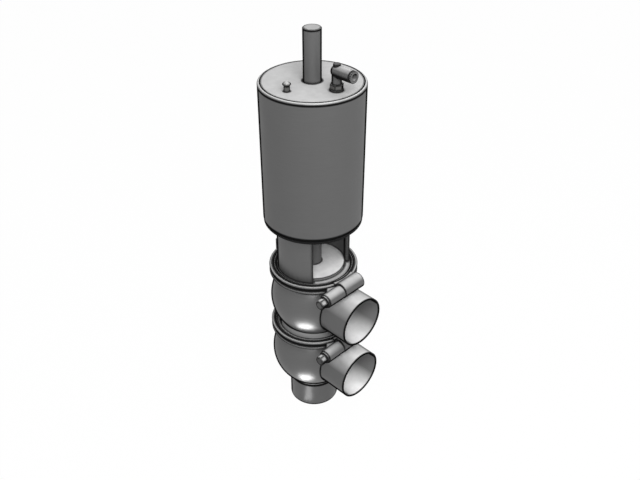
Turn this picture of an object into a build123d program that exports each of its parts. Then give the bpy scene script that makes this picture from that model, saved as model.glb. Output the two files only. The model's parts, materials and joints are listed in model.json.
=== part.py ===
from build123d import *
import math
import os

# Single seat valve: a pneumatic actuator on a windowed lantern, above two
# ball shaped bodies that are held together by hinged clamps.
# Millimetres. The origin is the centre of the bottom port's end face, +Z runs
# up the valve's axis and +X runs out along the two side ports.

# Product tube and bodies
tube_od = 50.8
tube_wall = 1.65
ball_swell = 17.4          # ball's radius over the tube's
ball_wall = 3.0
neck_swell = 9.6           # neck's radius over the tube's
neck_wall = 4.0
neck_land = 7.361          # straight neck between a ball and its clamp flange
port_stub = 23.2           # tube's end past the ball's radius
stub_length = 4.05         # weld stub under the lower ball

# Clamp flanges
flange_out = 3.75          # flange past its neck
flange_edge_t = 2.0
flange_taper = 15.0        # degrees on the back of each flange
recess_lip = 0.9           # wall left round the counterbore of a body flange
recess_depth = 3.0
gasket_t = 1.0
gasket_in = 0.3            # gasket's hole over the neck's bore
joint_fit = 0.1            # radial play of pieces laid into a counterbore

# Seat and plug
seat_flange_t = 4.0
seat_skirt = 2.0           # seat ring below its flange
seat_rise = 3.0            # seat ring above its flange
seat_cone = 3.25           # width of the 45 degree sealing cone
seat_gap = 0.15            # left between the seal and the seat when closed
neck_play = 0.2            # pilots in the neck bores
seal_low = 0.45            # seal's lower face above the cone's lower edge
seal_t = 3.0
seal_in = 5.75             # seal's hole inside the tube's bore
plug_over = 4.75           # plug's radius over the tube's bore
plug_rim_t = 2.2
plug_height = 10.8         # from the seal to the shoulder of the stem
plug_top_over = 1.0        # plug's shoulder over the stem
retainer_gap = 0.85        # retainer inside the tube's bore
retainer_t = 3.5
nut_flats = 17.0
nut_t = 6.0
nut_dome = 3.4

# Stem, rod and stroke
rod_r = 8.0
rod_reach = 45.7           # above the cover
rod_chamfer = 0.6
mark_depth = 0.3           # mark that shows on the rod once the valve opens
mark_low = 1.4             # below the cover's top face
mark_high = 0.6            # above the cover's top face
thread_r = 5.0             # stem end that carries the plug
spigot_in = 2.0            # stem and rod ends in the piston, inside the rod
stroke = 26.0
run_gap = 0.08             # round pieces that slide or turn in each other
fit_gap = 0.05             # round pieces that are pushed together
web_gap = 0.3              # a rod through a plain hole

# Bonnet
bonnet_rise = 5.5          # top face above the joint
bonnet_flange_t = 2.0
bonnet_pilot = 3.5         # depth of the pilot below its flange
bush_wall = 2.5
rod_seal_wall = 4.5
rod_seal_t = 3.5
bonnet_web = 1.0
seal_lip = 1.0

# Lantern
lantern_wall = 4.5
lantern_height = 55.4      # from the clamp joint to the base plate
window_bar = 5.4           # lantern ring left above the windows
window_half_angle = 45.0

# Actuator
actuator_height = 136.9
shell_r = 46.65
shell_wall = 2.0
shell_round = 2.0          # rolled rim
roll_wall = 0.8            # shell wall left around the cover
roll_lip = 0.95            # cover edge that the rim is rolled over
rim_seam = 0.9             # width and depth of the groove inside the rolled rim
cover_t = 8.0
cover_skirt = 8.0
cover_skirt_wall = 1.2     # skirt inside the coil
cover_hollow = 6.0
cover_boss_wall = 4.5
cover_pocket_over = 3.5    # pocket of the upper bush over the rod
cover_web = 2.0
base_t = 13.6
base_rim_in = 0.45         # rim inside the shell's outside
base_rim_t = 2.6
base_rim_chamfer = 1.25
base_neck_in = 1.7         # neck inside the shell's outside
shadow_gap = 2.5           # between the rim and the shell
base_spigot = 8.0          # into the top of the lantern
oring_r = 1.5
oring_room = 0.2           # groove wider than its ring
wire_r = 0.8               # square retaining wire, half its thickness
wire_drop = 1.8            # middle of the wire below the base plate's top
base_oring_rise = 3.1      # above the shell's lower end
cover_oring_drop = 4.0     # below the cover plate

# Piston
piston_rest = 4.0          # disc above the base plate at rest
piston_t = 12.0
piston_gap = 0.35
hub_wall = 6.0
hub_drop = 2.0             # hub below the disc
hub_rise = 20.0            # hub's top above the disc's underside
hub_split = 10.0           # length of the stem's end in the hub
piston_pocket = 5.0        # hollow in the disc's underside
piston_web_in = 3.5        # pocket's edge inside the middle of the coil
piston_boss_gap = 0.6      # boss inside the coil
piston_boss_t = 2.5
seal_band_t = 3.5
seal_band_depth = 3.8
guide_band_t = 3.0
guide_band_depth = 2.0
band_low = 1.2             # lower band above the disc's underside
band_step = 2.0            # land between the two bands
wall_gap = 0.2             # piston bands to the shell

# Spring
spring_room = 3.85         # coil to the shell
spring_wire_r = 3.3
spring_turns = 4.0         # active coils between the two end coils
spring_seat_t = 2.0
spring_seat_lip = 4.0      # height of the seat's centring lip
spring_seat_lip_t = 1.0
spring_seat_play = 0.5     # lip to the inside of the coil
spring_grind = 0.6         # ground off each end coil

# Stop sleeve
sleeve_wall = 4.5
sleeve_flange_wall = 7.0
sleeve_flange_t = 4.0
sleeve_spigot = 4.0
stop_gap = 0.3

# Air transfer tube
air_tube_room = 2.0        # air tube inside the coil
air_tube_r = 4.0
air_tube_wall = 1.0
air_tube_end = 1.2         # above the base plate
air_boss_wall = 3.0
air_seal_wall = 2.2
air_seal_t = 3.0

# Push-in elbow
stud_r = 4.85
stud_depth = 5.5
stud_flange_r = 6.0
stud_flange_t = 1.5
stud_flats = 10.2
stud_hex_t = 4.2
swivel_r = 3.4
swivel_t = 6.0
air_way_r = 2.0
elbow_r = 4.3
elbow_axis = 16.4          # stub axis above the cover
stub_r = 5.25
stub_reach = 16.8
collet_reach = 19.2
collet_flange_r = 4.9
collet_flange_t = 1.3
collet_r = 4.1
collet_play = 0.2
collet_length = 11.0
collet_room = 2.0          # free length behind the collet
air_hose_r = 3.05
cap_r = 3.2
cap_t = 1.2
cap_pin_r = 1.6
cap_pin = 2.0

# Breather
breather_x = 1.0
breather_in = 14.45        # breather's axis inside the shell's bore
breather_r = 2.6
breather_t = 4.8
breather_thread_r = 2.4
breather_thread = 7.0
breather_neck_r = 1.5
breather_neck = 1.1
breather_head_r = 3.6
breather_head_t = 2.7
breather_way_r = 1.0

# Clamps
clamp_band = 4.45          # ring's outside over the flanges
clamp_lip_gap = 2.0        # ring's lips to the necks
clamp_lip_chamfer = 0.9
clamp_land = 0.4           # flat edge between the lip and the step
clamp_height = 8.6
clamp_gap = 0.3            # round the flanges
clamp_bead_r = 1.35        # round bead along each outer edge
clamp_waist = 1.4          # depth of the waist between the beads
clamp_step = 1.0           # depth of the step inside each bead
lug_out = 5.8              # bolt's axis outside the ring
lug_split_y = -12.2
lug_split = 0.5
lug_a_r = 6.7
lug_a_length = 20.1
lug_a_web = 5.2            # thickness of the plain lug's web
lug_a_web_y = 6.4          # length of that web at the ring
lug_b_r = 7.8
lug_b_length = 25.0
lug_b_in = 1.1             # far lug's axis inside the bolt's
bolt_r = 3.0
bolt_tip = 2.5             # bolt end inside the far end of its lug
bolt_swing_gap = 0.9       # room for the bolt while the clamp swings
bolt_flange_r = 6.0
bolt_flange_t = 1.8
bolt_flats = 8.5
bolt_head_t = 6.8
bolt_bevel = 0.75          # taken off the corners of the head
bolt_turn = 17.0           # degrees that the head's corners stand above +X
hinge_out = 5.1            # hinge pin outside the ring
knuckle_r = 4.2
knuckle_half = 6.0
tongue_half = 2.0
knuckle_gap = 0.3
pin_r = 2.0
pin_over = 0.8
pin_chamfer = 0.4

# Values worked out from the ones above: radii from the axis outwards
tube_r = tube_od / 2
bore_r = tube_r - tube_wall
ball_r = tube_r + ball_swell
neck_r = tube_r + neck_swell
neck_bore_r = neck_r - neck_wall
flange_r = neck_r + flange_out
recess_r = neck_r - recess_lip
laid_r = recess_r - joint_fit
pilot_r = neck_bore_r - neck_play
gasket_inner_r = neck_bore_r + gasket_in
seal_inner_r = bore_r - seal_in
plug_r = bore_r + plug_over
plug_top_r = rod_r + plug_top_over
retainer_r = bore_r - retainer_gap
spigot_r = rod_r - spigot_in
bush_r = rod_r + bush_wall
rod_seal_r = rod_r + rod_seal_wall
cover_pocket_r = rod_r + cover_pocket_over
cover_boss_r = cover_pocket_r + cover_boss_wall
hub_r = rod_r + hub_wall
sleeve_r = rod_r + sleeve_wall
sleeve_flange_r = rod_r + sleeve_flange_wall
lantern_r = neck_r
lantern_bore_r = lantern_r - lantern_wall
shell_bore_r = shell_r - shell_wall
roll_bore_r = shell_r - roll_wall
cover_r = roll_bore_r - fit_gap
skirt_r = shell_bore_r - fit_gap
base_rim_r = shell_r - base_rim_in
base_neck_r = shell_r - base_neck_in
spring_r = shell_bore_r - spring_room - spring_wire_r
coil_inner_r = spring_r - spring_wire_r
cover_skirt_r = coil_inner_r - cover_skirt_wall
piston_web_r = spring_r - piston_web_in
piston_boss_r = coil_inner_r - piston_boss_gap
air_x = coil_inner_r - air_tube_room - air_tube_r
air_boss_r = air_tube_r + air_boss_wall
air_seal_r = air_tube_r + air_seal_wall
breather_y = breather_in - shell_bore_r
clamp_lip_r = neck_r + clamp_lip_gap
clamp_mouth_r = clamp_lip_r + clamp_lip_chamfer
clamp_r = flange_r + clamp_band
clamp_half = clamp_height / 2
lug_x = clamp_r + lug_out
pin_x = -clamp_r - hinge_out

# Heights from the bottom port upwards
taper_slope = math.tan(math.radians(flange_taper))
flange_root_t = flange_edge_t + flange_out * taper_slope
ball_rise = math.sqrt(ball_r ** 2 - neck_r ** 2)
ball_drop = math.sqrt(ball_r ** 2 - tube_r ** 2)
port_reach = ball_r + port_stub
half_pitch = ball_rise + neck_land + flange_root_t
lower_ball_z = port_reach
seat_joint_z = lower_ball_z + half_pitch
upper_ball_z = seat_joint_z + half_pitch
top_joint_z = upper_ball_z + half_pitch
weld_z = lower_ball_z - ball_drop - stub_length
seat_low_z = seat_joint_z - seat_flange_t / 2
seat_high_z = seat_joint_z + seat_flange_t / 2
seat_top_z = seat_high_z + seat_rise
cone_low_z = seat_top_z - seat_cone
plug_seal_z = cone_low_z + seal_low
plug_face_z = plug_seal_z + seal_t
plug_top_z = plug_face_z + plug_height
retainer_low_z = plug_seal_z - retainer_t
nut_low_z = retainer_low_z - nut_t
sill_z = top_joint_z + flange_root_t
bonnet_top_z = top_joint_z + bonnet_rise
base_z = top_joint_z + lantern_height
window_top_z = base_z - window_bar
shell_low_z = base_z + base_rim_t + shadow_gap
base_top_z = base_z + base_t
wire_z = base_top_z - wire_drop
base_oring_z = shell_low_z + base_oring_rise
cover_z = base_z + actuator_height
cover_low_z = cover_z - cover_t
skirt_low_z = cover_low_z - cover_skirt
cover_oring_z = cover_low_z - cover_oring_drop
rod_top_z = cover_z + rod_reach
piston_z = base_top_z + piston_rest
hub_low_z = piston_z - hub_drop
hub_top_z = piston_z + hub_rise
hub_split_z = hub_low_z + hub_split
spring_low_z = piston_z + piston_t
spring_high_z = skirt_low_z - spring_seat_t
sleeve_low_z = hub_top_z + stroke + stop_gap


def turn(outline):
    """Solid turned about Z from an outline in (radius, height), seamed at -X."""
    away = Plane(origin=(0, 0, 0), x_dir=(-1, 0, 0), z_dir=(0, 1, 0))
    return revolve(away * make_face(outline), Axis.Z)


def turned(points):
    """Solid turned about Z from a closed outline of (radius, height) points."""
    return turn(Polyline(*points, close=True))


def rod(radius, low_z, high_z, x=0, y=0):
    """Upright cylinder between two heights."""
    middle = (low_z + high_z) / 2
    return Pos(x, y, middle) * Cylinder(radius, high_z - low_z)


def ring(outer_r, inner_r, low_z, high_z, x=0, y=0):
    """Upright ring between two heights."""
    return rod(outer_r, low_z, high_z, x, y) - rod(inner_r, low_z, high_z, x, y)


def cross_rod(radius, low_x, high_x, z):
    """Cylinder along X between two places."""
    length = high_x - low_x
    return Pos((low_x + high_x) / 2, 0, z) * Rot(0, 90, 0) * Cylinder(radius, length)


def side_rod(radius, low_y, high_y, x, z):
    """Cylinder along Y between two places."""
    length = high_y - low_y
    return Pos(x, (low_y + high_y) / 2, z) * Rot(90, 0, 0) * Cylinder(radius, length)


def block(low, high):
    """Box between two corners."""
    size = [high[i] - low[i] for i in range(3)]
    middle = [(high[i] + low[i]) / 2 for i in range(3)]
    return Pos(*middle) * Box(*size)


def hexagon(flats, low_z, high_z, x=0):
    """Upright hexagonal prism, measured across its flats."""
    corner_r = flats / math.sqrt(3)
    outline = RegularPolygon(corner_r, 6)
    return Pos(x, 0, low_z) * extrude(outline, high_z - low_z)


def oring(bore_of_wall, z):
    """O-ring of round section against the bore round it."""
    return Pos(0, 0, z) * Torus(bore_of_wall - oring_r - fit_gap, oring_r)


def oring_groove(bore_of_wall, z):
    """Groove that an O-ring lies in, open to the bore round it."""
    half = oring_r + oring_room
    inner_r = bore_of_wall - 2 * oring_r - 2 * fit_gap
    return ring(bore_of_wall, inner_r, z - half, z + half)


def flange(joint_z, inner_r, up):
    """Clamp flange with a tapered back; up is +1 above its joint, -1 below."""
    edge_z = joint_z + up * flange_edge_t
    root_z = joint_z + up * flange_root_t
    return turned([
        (inner_r, joint_z),
        (flange_r, joint_z),
        (flange_r, edge_z),
        (neck_r, root_z),
        (inner_r, root_z),
    ])


def ball_height(radius, wall_r):
    """Height above a ball's centre where it meets a coaxial cylinder."""
    return math.sqrt(radius ** 2 - wall_r ** 2)


def side_port(ball_z, neck_low_z, neck_high_z):
    """Side tube, cut to the ball and necks that it is welded to."""
    tube = cross_rod(tube_r, 0, port_reach, ball_z) - cross_rod(bore_r, 0, port_reach, ball_z)
    tube -= Pos(0, 0, ball_z) * Rot(0, 0, 180) * Sphere(ball_r)
    return tube - Rot(0, 0, 180) * rod(neck_r, neck_low_z, neck_high_z)


def make_upper_body():
    """Upper ball with a flanged neck above and below."""
    inner_r = ball_r - ball_wall
    inner_rise = ball_height(inner_r, neck_bore_r)
    outline = Polyline(
        (recess_r, seat_joint_z),
        (flange_r, seat_joint_z),
        (flange_r, seat_joint_z + flange_edge_t),
        (neck_r, seat_joint_z + flange_root_t),
        (neck_r, upper_ball_z - ball_rise),
    )
    outline += ThreePointArc(
        (neck_r, upper_ball_z - ball_rise),
        (ball_r, upper_ball_z),
        (neck_r, upper_ball_z + ball_rise),
    )
    outline += Polyline(
        (neck_r, upper_ball_z + ball_rise),
        (neck_r, top_joint_z - flange_root_t),
        (flange_r, top_joint_z - flange_edge_t),
        (flange_r, top_joint_z),
        (recess_r, top_joint_z),
        (recess_r, top_joint_z - recess_depth),
        (neck_bore_r, top_joint_z - recess_depth),
        (neck_bore_r, upper_ball_z + inner_rise),
    )
    outline += ThreePointArc(
        (neck_bore_r, upper_ball_z + inner_rise),
        (inner_r, upper_ball_z),
        (neck_bore_r, upper_ball_z - inner_rise),
    )
    outline += Polyline(
        (neck_bore_r, upper_ball_z - inner_rise),
        (neck_bore_r, seat_joint_z + recess_depth),
        (recess_r, seat_joint_z + recess_depth),
        (recess_r, seat_joint_z),
    )
    return turn(outline) - cross_rod(bore_r, 0, port_reach, upper_ball_z)


def make_lower_body():
    """Lower ball with a flanged neck above and a weld stub below."""
    inner_r = ball_r - ball_wall
    inner_rise = ball_height(inner_r, neck_bore_r)
    inner_drop = ball_height(inner_r, bore_r)
    outline = Polyline(
        (bore_r, weld_z),
        (tube_r, weld_z),
        (tube_r, lower_ball_z - ball_drop),
    )
    outline += ThreePointArc(
        (tube_r, lower_ball_z - ball_drop),
        (ball_r, lower_ball_z),
        (neck_r, lower_ball_z + ball_rise),
    )
    outline += Polyline(
        (neck_r, lower_ball_z + ball_rise),
        (neck_r, seat_joint_z - flange_root_t),
        (flange_r, seat_joint_z - flange_edge_t),
        (flange_r, seat_joint_z),
        (recess_r, seat_joint_z),
        (recess_r, seat_joint_z - recess_depth),
        (neck_bore_r, seat_joint_z - recess_depth),
        (neck_bore_r, lower_ball_z + inner_rise),
    )
    outline += ThreePointArc(
        (neck_bore_r, lower_ball_z + inner_rise),
        (inner_r, lower_ball_z),
        (bore_r, lower_ball_z - inner_drop),
    )
    outline += Line((bore_r, lower_ball_z - inner_drop), (bore_r, weld_z))
    return turn(outline) - cross_rod(bore_r, 0, port_reach, lower_ball_z)


def make_bottom_port_tube():
    """Bottom tube, butt welded to the lower body's stub."""
    return ring(tube_r, bore_r, 0, weld_z)


def make_seat_ring():
    """Seat ring held between the two bodies, with a 45 degree sealing cone."""
    return turned([
        (bore_r, seat_low_z - seat_skirt),
        (pilot_r, seat_low_z - seat_skirt),
        (pilot_r, seat_low_z),
        (laid_r, seat_low_z),
        (laid_r, seat_high_z),
        (pilot_r, seat_high_z),
        (pilot_r, seat_top_z),
        (bore_r + seat_cone, seat_top_z),
        (bore_r, cone_low_z),
    ])


def gasket(low_z):
    """Flat gasket in a body's counterbore."""
    return ring(laid_r, gasket_inner_r, low_z, low_z + gasket_t)


def make_seat_gaskets():
    """The gaskets below and above the seat ring."""
    low = gasket(seat_low_z - gasket_t)
    high = gasket(seat_high_z)
    return Compound([low.solid(), high.solid()])


def make_plug_seal():
    """Seal ring whose cone meets the seat."""
    lift = seat_gap * math.sqrt(2)
    low_r = bore_r + seal_low - lift
    return turned([
        (seal_inner_r, plug_seal_z),
        (low_r, plug_seal_z),
        (low_r + seal_t, plug_face_z),
        (seal_inner_r, plug_face_z),
    ])


def make_plug():
    """Valve plug above its seal, coned towards the stem."""
    hole_r = thread_r + fit_gap
    return turned([
        (hole_r, plug_seal_z),
        (seal_inner_r - fit_gap, plug_seal_z),
        (seal_inner_r - fit_gap, plug_face_z),
        (plug_r, plug_face_z),
        (plug_r, plug_face_z + plug_rim_t),
        (plug_top_r, plug_top_z),
        (hole_r, plug_top_z),
    ])


def make_plug_retainer():
    """Disc that holds the seal against the plug from below."""
    disc = ring(retainer_r, thread_r + fit_gap, retainer_low_z, plug_seal_z)
    rim = disc.edges().filter_by(GeomType.CIRCLE).sort_by(SortBy.RADIUS)[-2:].sort_by(Axis.Z)[0]
    return chamfer(rim, retainer_t / 2)


def make_plug_nut():
    """Domed nut on the stem's lower end."""
    dome_r = nut_flats / 2
    ball_radius = (dome_r ** 2 + nut_dome ** 2) / (2 * nut_dome)
    dome = Pos(0, 0, nut_low_z - nut_dome + ball_radius) * Sphere(ball_radius)
    dome &= rod(dome_r, nut_low_z - nut_dome, nut_low_z)
    nut = hexagon(nut_flats, nut_low_z, retainer_low_z) + dome
    return nut - rod(thread_r + fit_gap, nut_low_z, retainer_low_z)


def make_stem():
    """Stem from the plug up to the piston."""
    stem = rod(rod_r, plug_top_z, hub_low_z)
    stem += rod(thread_r, nut_low_z, plug_top_z)
    return stem + rod(spigot_r, hub_low_z, hub_split_z)


def make_top_rod():
    """Rod from the piston out through the cover."""
    end = rod(rod_r, hub_top_z, rod_top_z)
    end = chamfer(end.edges().filter_by(GeomType.CIRCLE).sort_by(Axis.Z)[-1], rod_chamfer)
    end -= ring(rod_r, rod_r - mark_depth, cover_z - mark_low, cover_z + mark_high)
    return end + rod(spigot_r, hub_split_z, hub_top_z)


def band_grooves():
    """Heights of the piston's seal groove and guide groove."""
    seal_z = piston_z + band_low
    guide_z = seal_z + seal_band_t + band_step
    return seal_z, guide_z


def make_piston():
    """Piston disc and hub, with grooves for its seal, guide and air tube."""
    disc_r = shell_bore_r - piston_gap
    top_z = piston_z + piston_t
    seal_z, guide_z = band_grooves()
    piston = rod(disc_r, piston_z, top_z) + rod(hub_r, hub_low_z, hub_top_z)
    piston += rod(piston_boss_r, top_z, top_z + piston_boss_t)
    pocket = ring(piston_web_r, hub_r, piston_z, piston_z + piston_pocket)
    piston -= pocket - rod(air_boss_r + air_tube_wall, piston_z, top_z, air_x)
    piston -= ring(disc_r, disc_r - seal_band_depth, seal_z, seal_z + seal_band_t)
    piston -= ring(disc_r, disc_r - guide_band_depth, guide_z, guide_z + guide_band_t)
    piston -= rod(spigot_r + fit_gap, hub_low_z, hub_top_z)
    piston -= rod(air_tube_r + web_gap, piston_z, top_z + piston_boss_t, air_x)
    groove_z = piston_z + (piston_t - air_seal_t) / 2
    piston -= rod(air_seal_r, groove_z, groove_z + air_seal_t, air_x)
    return piston


def make_piston_seal():
    """Seal in the piston's lower groove."""
    seal_z = band_grooves()[0]
    inner_r = shell_bore_r - piston_gap - seal_band_depth
    return ring(shell_bore_r - wall_gap, inner_r, seal_z, seal_z + seal_band_t)


def make_piston_guide():
    """Guide band in the piston's upper groove."""
    guide_z = band_grooves()[1]
    inner_r = shell_bore_r - piston_gap - guide_band_depth
    return ring(shell_bore_r - wall_gap, inner_r, guide_z, guide_z + guide_band_t)


def make_air_tube_seal():
    """Seal in the piston around the air tube."""
    low_z = piston_z + (piston_t - air_seal_t) / 2
    return ring(air_seal_r - fit_gap, air_tube_r + run_gap, low_z, low_z + air_seal_t, air_x)


def make_lantern():
    """Lantern tube with a clamp flange and two windows facing the ports."""
    lantern = ring(lantern_r, lantern_bore_r, top_joint_z, base_z)
    lantern += flange(top_joint_z, lantern_bore_r, 1)
    reach = 2 * flange_r
    spread = reach * math.tan(math.radians(window_half_angle))
    for side in (1, -1):
        wedge = make_face(Polyline((0, 0), (side * reach, -spread), (side * reach, spread), close=True))
        lantern -= Pos(0, 0, sill_z) * extrude(wedge, window_top_z - sill_z)
    return lantern


def make_bonnet():
    """Bonnet that closes the upper body and carries the stem's bush and seal."""
    flange_low_z = top_joint_z - bonnet_flange_t
    bonnet_low_z = flange_low_z - bonnet_pilot
    bonnet = rod(lantern_bore_r - fit_gap, top_joint_z, bonnet_top_z)
    bonnet += rod(laid_r, flange_low_z, top_joint_z)
    bonnet += rod(pilot_r, bonnet_low_z, flange_low_z)
    bonnet -= rod(rod_r + web_gap, bonnet_low_z, bonnet_top_z)
    bonnet -= rod(bush_r, bonnet_low_z, bonnet_top_z - bonnet_web)
    bonnet -= rod(rod_seal_r, bonnet_low_z, bonnet_low_z + rod_seal_t)
    return bonnet


def make_bonnet_bush():
    """Plain bush for the stem."""
    low_z = top_joint_z - bonnet_flange_t - bonnet_pilot + rod_seal_t
    return ring(bush_r - fit_gap, rod_r + run_gap, low_z, bonnet_top_z - bonnet_web)


def make_bonnet_lip_seal():
    """Lip seal on the product side of the bonnet."""
    low_z = top_joint_z - bonnet_flange_t - bonnet_pilot
    high_z = low_z + rod_seal_t
    inner_r = rod_r + run_gap
    outer_r = rod_seal_r - fit_gap
    return turned([
        (inner_r, low_z - seal_lip),
        (inner_r + seal_lip, low_z - seal_lip),
        (inner_r + 2 * seal_lip, low_z),
        (outer_r, low_z),
        (outer_r, high_z),
        (inner_r, high_z),
    ])


def make_bonnet_gasket():
    """Gasket under the bonnet's flange."""
    return gasket(top_joint_z - recess_depth)


def make_base():
    """Base plate that closes the actuator and stands on the lantern."""
    rim_top_z = base_z + base_rim_t
    wire_groove_r = shell_bore_r - wire_r
    body_r = shell_bore_r - fit_gap
    base = turned([
        (rod_r + web_gap, base_z - base_spigot),
        (lantern_bore_r - fit_gap, base_z - base_spigot),
        (lantern_bore_r - fit_gap, base_z),
        (base_rim_r - base_rim_chamfer, base_z),
        (base_rim_r, base_z + base_rim_chamfer),
        (base_rim_r, rim_top_z),
        (base_neck_r, rim_top_z),
        (base_neck_r, shell_low_z),
        (body_r, shell_low_z),
        (body_r, base_top_z),
        (rod_r + web_gap, base_top_z),
    ])
    base -= oring_groove(shell_bore_r, base_oring_z)
    base -= ring(body_r, wire_groove_r, wire_z - wire_r, wire_z + wire_r)
    base -= rod(bush_r, base_z - base_spigot, shell_low_z)
    return base - rod(rod_seal_r, shell_low_z, shell_low_z + rod_seal_t)


def make_base_bush():
    """Lower bush of the actuator."""
    return ring(bush_r - fit_gap, rod_r + run_gap, base_z - base_spigot, shell_low_z)


def make_base_rod_seal():
    """Rod seal in the base plate."""
    return ring(rod_seal_r - fit_gap, rod_r + run_gap, shell_low_z, shell_low_z + rod_seal_t)


def make_base_wire():
    """Retaining wire, half in the shell and half in the base plate."""
    low_z = wire_z - wire_r + fit_gap
    high_z = wire_z + wire_r - fit_gap
    return ring(shell_bore_r + wire_r - fit_gap, shell_bore_r - wire_r, low_z, high_z)


def make_shell():
    """Actuator tube with its rim rolled over the cover."""
    lip_r = cover_r - roll_lip
    profile = Polyline(
        (shell_bore_r, shell_low_z),
        (shell_r, shell_low_z),
        (shell_r, cover_z - shell_round),
    )
    profile += ThreePointArc(
        (shell_r, cover_z - shell_round),
        (lip_r + (shell_r - lip_r) * math.sqrt(0.5), cover_z - shell_round * (1 - math.sqrt(0.5))),
        (lip_r, cover_z),
    )
    profile += Polyline(
        (lip_r, cover_z),
        (roll_bore_r, cover_z - roll_lip - fit_gap),
        (roll_bore_r, cover_low_z),
        (shell_bore_r, cover_low_z),
        (shell_bore_r, shell_low_z),
    )
    shell = turn(profile)
    groove = ring(shell_bore_r + wire_r, shell_bore_r - wire_r, wire_z - wire_r, wire_z + wire_r)
    return shell - groove


def make_cover():
    """Cover plate with its skirt, rod pocket, air inlet and breather hole."""
    cover = turned([
        (0, skirt_low_z),
        (skirt_r, skirt_low_z),
        (skirt_r, cover_low_z),
        (cover_r, cover_low_z),
        (cover_r, cover_z - roll_lip),
        (cover_r - roll_lip, cover_z),
        (0, cover_z),
    ])
    cover -= ring(cover_r - roll_lip, cover_r - roll_lip - rim_seam, cover_z - rim_seam, cover_z)
    hollow = ring(cover_skirt_r, cover_boss_r, skirt_low_z, skirt_low_z + cover_hollow)
    cover -= hollow - rod(air_boss_r, skirt_low_z, cover_low_z, air_x)
    cover -= rod(rod_r + web_gap, skirt_low_z, cover_z)
    cover -= rod(cover_pocket_r, skirt_low_z, cover_z - cover_web)
    cover -= oring_groove(shell_bore_r, cover_oring_z)
    cover -= rod(stud_r + fit_gap, cover_z - stud_depth, cover_z, air_x)
    cover -= rod(air_tube_r + fit_gap, skirt_low_z, cover_z - stud_depth, air_x)
    cover -= rod(breather_thread_r + fit_gap, cover_low_z, cover_z, breather_x, breather_y)
    return cover - rod(breather_way_r, skirt_low_z, cover_z, breather_x, breather_y)


def make_cover_oring():
    """O-ring round the cover's skirt."""
    return oring(shell_bore_r, cover_oring_z)


def make_base_oring():
    """O-ring round the base plate."""
    return oring(shell_bore_r, base_oring_z)


def make_stop_sleeve():
    """Sleeve under the cover that stops the piston's hub at full stroke."""
    spigot_top_z = skirt_low_z + sleeve_spigot
    flange_low_z = skirt_low_z - sleeve_flange_t
    sleeve = rod(sleeve_r, sleeve_low_z, skirt_low_z)
    sleeve += rod(sleeve_flange_r, flange_low_z, skirt_low_z)
    sleeve += rod(cover_pocket_r - fit_gap, skirt_low_z, spigot_top_z)
    return sleeve - rod(rod_r + web_gap, sleeve_low_z, spigot_top_z)


def make_cover_bush():
    """Upper bush, held in the cover's pocket by the stop sleeve."""
    low_z = skirt_low_z + sleeve_spigot
    high_z = cover_z - cover_web - rod_seal_t
    return ring(cover_pocket_r - fit_gap, rod_r + run_gap, low_z, high_z)


def make_cover_rod_seal():
    """Wiper seal under the cover's web."""
    high_z = cover_z - cover_web
    return ring(cover_pocket_r - fit_gap, rod_r + run_gap, high_z - rod_seal_t, high_z)


def make_spring_seat():
    """Seat ring between the spring and the cover's skirt."""
    lip_r = coil_inner_r - spring_seat_play
    inner_r = lip_r - spring_seat_lip_t
    seat = ring(spring_r + spring_wire_r, inner_r, spring_high_z, skirt_low_z)
    lip_z = skirt_low_z - spring_seat_lip
    return seat + ring(lip_r, inner_r, lip_z, skirt_low_z)


def coil(low_z, rise, turns, turned_before):
    """Stretch of the spring's centre line that starts after some turns."""
    path = Helix(rise / turns, rise, spring_r)
    return (Pos(0, 0, low_z) * Rot(0, 0, 360 * turned_before) * path).edge()


def make_spring():
    """Coil spring with a closed and ground coil at each end."""
    low = spring_low_z + spring_wire_r - spring_grind
    high = spring_high_z - spring_wire_r + spring_grind
    closed = 2 * spring_wire_r + fit_gap
    middle = high - low - 2 * closed
    path = Wire([
        coil(low, closed, 1, 0),
        coil(low + closed, middle, spring_turns, 1),
        coil(high - closed, closed, 1, 1 + spring_turns),
    ])
    section = Plane(origin=path @ 0, z_dir=path % 0) * Circle(spring_wire_r)
    spring = sweep(section, path=path, is_frenet=True)
    return spring & rod(spring_r + 2 * spring_wire_r, spring_low_z, spring_high_z)


def make_air_tube():
    """Tube that carries the air down past the piston."""
    high_z = cover_z - stud_depth - air_tube_wall
    inner_r = air_tube_r - air_tube_wall
    return ring(air_tube_r, inner_r, base_top_z + air_tube_end, high_z, air_x)


def make_fitting_stud():
    """Threaded stud of the elbow, with its flange and hexagon."""
    flange_z = cover_z + stud_flange_t
    hex_z = flange_z + stud_hex_t
    stud = rod(stud_r, cover_z - stud_depth, cover_z, air_x)
    stud += rod(stud_flange_r, cover_z, flange_z, air_x)
    stud += hexagon(stud_flats, flange_z, hex_z, air_x)
    stud += rod(swivel_r, hex_z, hex_z + swivel_t, air_x)
    return stud - rod(air_way_r, cover_z - stud_depth, hex_z + swivel_t, air_x)


def make_fitting_elbow():
    """Swivelling elbow body with its stub along +X."""
    low_z = cover_z + stud_flange_t + stud_hex_t + web_gap
    axis_z = cover_z + elbow_axis
    stub_end_x = air_x + stub_reach
    elbow = rod(elbow_r, low_z, axis_z, air_x)
    elbow += Pos(air_x, 0, axis_z) * Sphere(stub_r)
    elbow += cross_rod(stub_r, air_x, stub_end_x, axis_z)
    elbow -= rod(swivel_r + run_gap, low_z, low_z + swivel_t, air_x)
    elbow -= rod(air_way_r, low_z, axis_z, air_x)
    elbow -= cross_rod(air_way_r, air_x, stub_end_x, axis_z)
    collet_low_x = air_x + collet_reach - collet_length
    elbow -= cross_rod(collet_r + collet_play, collet_low_x - collet_room, stub_end_x, axis_z)
    elbow -= rod(cap_pin_r + fit_gap, axis_z + stub_r - cap_pin, axis_z + stub_r, air_x)
    return elbow - rod(cap_r + fit_gap, axis_z + stub_r - cap_t, axis_z + stub_r, air_x)


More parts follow.
